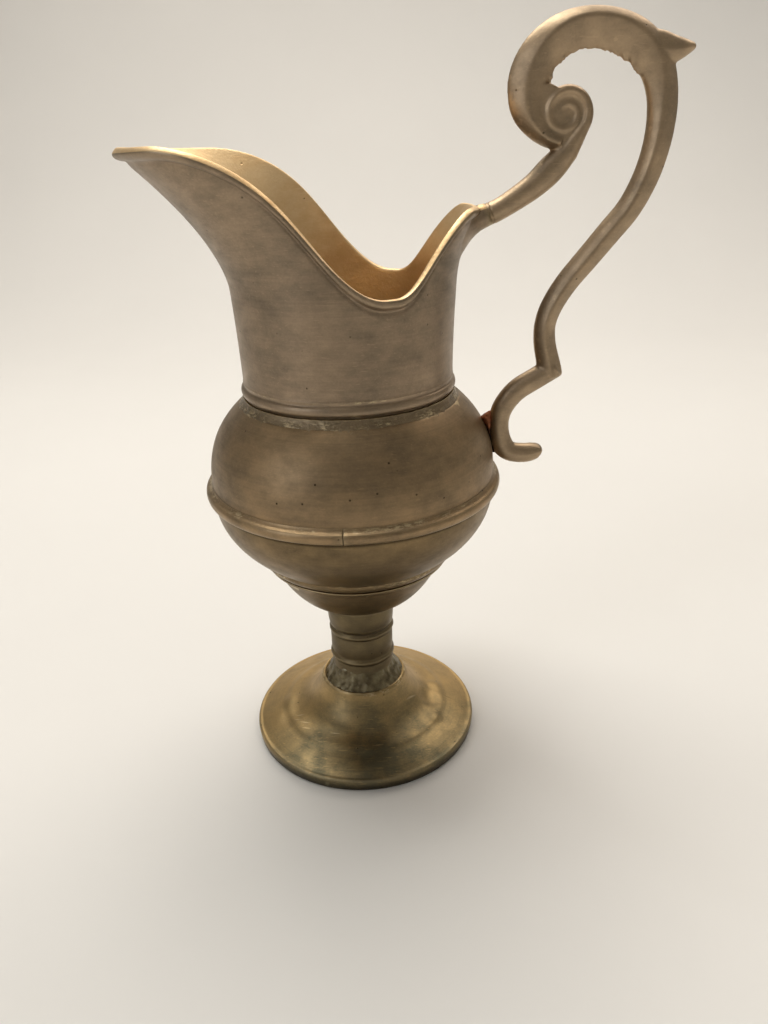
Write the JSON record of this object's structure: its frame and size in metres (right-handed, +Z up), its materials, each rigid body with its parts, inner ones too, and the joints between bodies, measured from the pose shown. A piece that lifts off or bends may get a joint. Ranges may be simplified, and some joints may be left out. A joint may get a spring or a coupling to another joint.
{
  "type": "ewer",
  "caption": "Stemmed cast brass ewer: helmet-shaped pouring mouth, round belly with a bead round it, turned stem on a hollow foot, and a scrolled handle behind.",
  "frame": {"origin": "on the surface that the foot stands on, under the middle of the whole ewer's box", "axes": "+Z up along the vessel's turned axis, +X from the spout towards the handle, +Y across the vessel"},
  "size_m": [0.1706, 0.105, 0.2507],
  "materials": {
    "neck_brass": "satin cast brass with a smudged patina and faint turning marks",
    "belly_brass": "satin turned brass with a brown-olive patina and small pits",
    "girdle_brass": "drawn half-round brass wire, worn bright along its crest",
    "foot_brass": "turned brass with brush marks, scratches and a greenish-grey patina",
    "stem_brass": "dull turned brass tube, dark patina",
    "handle_brass": "sand-cast brass, filed and rubbed",
    "braze": "rough copper-red braze",
    "solder": "lumpy dull grey soft solder",
    "steel": "plain dull steel"
  },
  "bodies": {
    "root": {"foot": "foot_brass", "stem": "stem_brass", "stem_solder": "solder", "tie_rod": "steel", "foot_washer": "steel", "foot_nut": "steel", "bottom_cup": "belly_brass", "lower_bowl": "belly_brass", "shoulder": "belly_brass", "girdle_ring": "girdle_brass", "collar_seam": "braze", "neck": "neck_brass", "rim_braze": "braze", "handle": "handle_brass", "handle_braze": "braze"}
  },
  "joints": []
}
